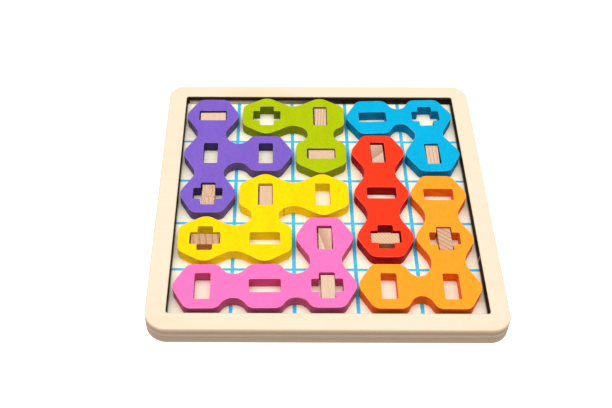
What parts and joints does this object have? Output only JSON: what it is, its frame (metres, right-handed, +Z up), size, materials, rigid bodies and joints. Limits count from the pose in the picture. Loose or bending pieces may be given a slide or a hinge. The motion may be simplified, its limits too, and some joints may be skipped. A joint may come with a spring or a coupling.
{
  "type": "slot and peg packing puzzle",
  "caption": "Square plywood tray puzzle: dyed wooden pieces of linked six-sided lobes with slots through them lie on a lined board over loose wooden pegs.",
  "frame": {"origin": "middle of the tray's underside, on the surface that it lies on", "axes": "+Z up out of the tray, +Y to the back row of the grid as it is played, +X to the right, along the rows"},
  "size_m": [0.203, 0.203, 0.0133],
  "materials": {
    "tray_ply": "pale birch plywood, sanded, clear satin; laser-browned inside the frame, sky-blue printed grid lines on the board",
    "peg_wood": "bare beech, sawn and sanded, no lacquer",
    "purple_dye": "purple water-based dye on fine-grained wood, satin",
    "green_dye": "green water-based dye on fine-grained wood, satin",
    "blue_dye": "blue water-based dye on fine-grained wood, satin",
    "red_dye": "red water-based dye on fine-grained wood, satin",
    "yellow_dye": "yellow water-based dye on fine-grained wood, satin",
    "pink_dye": "pink water-based dye on fine-grained wood, satin",
    "orange_dye": "orange water-based dye on fine-grained wood, satin"
  },
  "bodies": {
    "tray": {"base_board": "tray_ply", "tray_frame": "tray_ply"},
    "purple_t_piece": {"purple_t_piece": "purple_dye"},
    "green_corner_piece": {"green_corner_piece": "green_dye"},
    "blue_corner_piece": {"blue_corner_piece": "blue_dye"},
    "red_bar_piece": {"red_bar_piece": "red_dye"},
    "yellow_zigzag_piece": {"yellow_zigzag_piece": "yellow_dye"},
    "pink_l_piece": {"pink_l_piece": "pink_dye"},
    "orange_j_piece": {"orange_j_piece": "orange_dye"},
    "peg_column1_row3": {"peg_column1_row3": "peg_wood"},
    "peg_column1_row1": {"peg_column1_row1": "peg_wood"},
    "peg_column3_row1": {"peg_column3_row1": "peg_wood"},
    "peg_column3_row2": {"peg_column3_row2": "peg_wood"},
    "peg_column5_row2": {"peg_column5_row2": "peg_wood"},
    "peg_column4_row4": {"peg_column4_row4": "peg_wood"},
    "peg_column4_row2": {"peg_column4_row2": "peg_wood"},
    "peg_column1_row4": {"peg_column1_row4": "peg_wood"},
    "peg_column2_row3": {"peg_column2_row3": "peg_wood"},
    "peg_column3_row5": {"peg_column3_row5": "peg_wood"},
    "peg_column3_row4": {"peg_column3_row4": "peg_wood"},
    "peg_column5_row4": {"peg_column5_row4": "peg_wood"}
  },
  "joints": [
    {"name": "purple_t_piece_lift", "type": "slide", "parent": "tray", "child": "purple_t_piece", "axis": [0, 0, 1], "range_m": [0, 0.04]},
    {"name": "green_corner_piece_lift", "type": "slide", "parent": "tray", "child": "green_corner_piece", "axis": [0, 0, 1], "range_m": [0, 0.04]},
    {"name": "blue_corner_piece_lift", "type": "slide", "parent": "tray", "child": "blue_corner_piece", "axis": [0, 0, 1], "range_m": [0, 0.04]},
    {"name": "red_bar_piece_lift", "type": "slide", "parent": "tray", "child": "red_bar_piece", "axis": [0, 0, 1], "range_m": [0, 0.04]},
    {"name": "yellow_zigzag_piece_lift", "type": "slide", "parent": "tray", "child": "yellow_zigzag_piece", "axis": [0, 0, 1], "range_m": [0, 0.04]},
    {"name": "pink_l_piece_lift", "type": "slide", "parent": "tray", "child": "pink_l_piece", "axis": [0, 0, 1], "range_m": [0, 0.04]},
    {"name": "orange_j_piece_lift", "type": "slide", "parent": "tray", "child": "orange_j_piece", "axis": [0, 0, 1], "range_m": [0, 0.04]},
    {"name": "peg_column1_row3_lift", "type": "slide", "parent": "tray", "child": "peg_column1_row3", "axis": [0, 0, 1], "range_m": [0, 0.02]},
    {"name": "peg_column1_row1_lift", "type": "slide", "parent": "tray", "child": "peg_column1_row1", "axis": [0, 0, 1], "range_m": [0, 0.02]},
    {"name": "peg_column3_row1_lift", "type": "slide", "parent": "tray", "child": "peg_column3_row1", "axis": [0, 0, 1], "range_m": [0, 0.02]},
    {"name": "peg_column3_row2_lift", "type": "slide", "parent": "tray", "child": "peg_column3_row2", "axis": [0, 0, 1], "range_m": [0, 0.02]},
    {"name": "peg_column5_row2_lift", "type": "slide", "parent": "tray", "child": "peg_column5_row2", "axis": [0, 0, 1], "range_m": [0, 0.02]},
    {"name": "peg_column4_row4_lift", "type": "slide", "parent": "tray", "child": "peg_column4_row4", "axis": [0, 0, 1], "range_m": [0, 0.02]},
    {"name": "peg_column4_row2_lift", "type": "slide", "parent": "tray", "child": "peg_column4_row2", "axis": [0, 0, 1], "range_m": [0, 0.02]},
    {"name": "peg_column1_row4_lift", "type": "slide", "parent": "tray", "child": "peg_column1_row4", "axis": [0, 0, 1], "range_m": [0, 0.02]},
    {"name": "peg_column2_row3_lift", "type": "slide", "parent": "tray", "child": "peg_column2_row3", "axis": [0, 0, 1], "range_m": [0, 0.02]},
    {"name": "peg_column3_row5_lift", "type": "slide", "parent": "tray", "child": "peg_column3_row5", "axis": [0, 0, 1], "range_m": [0, 0.02]},
    {"name": "peg_column3_row4_lift", "type": "slide", "parent": "tray", "child": "peg_column3_row4", "axis": [0, 0, 1], "range_m": [0, 0.02]},
    {"name": "peg_column5_row4_lift", "type": "slide", "parent": "tray", "child": "peg_column5_row4", "axis": [0, 0, 1], "range_m": [0, 0.02]}
  ]
}
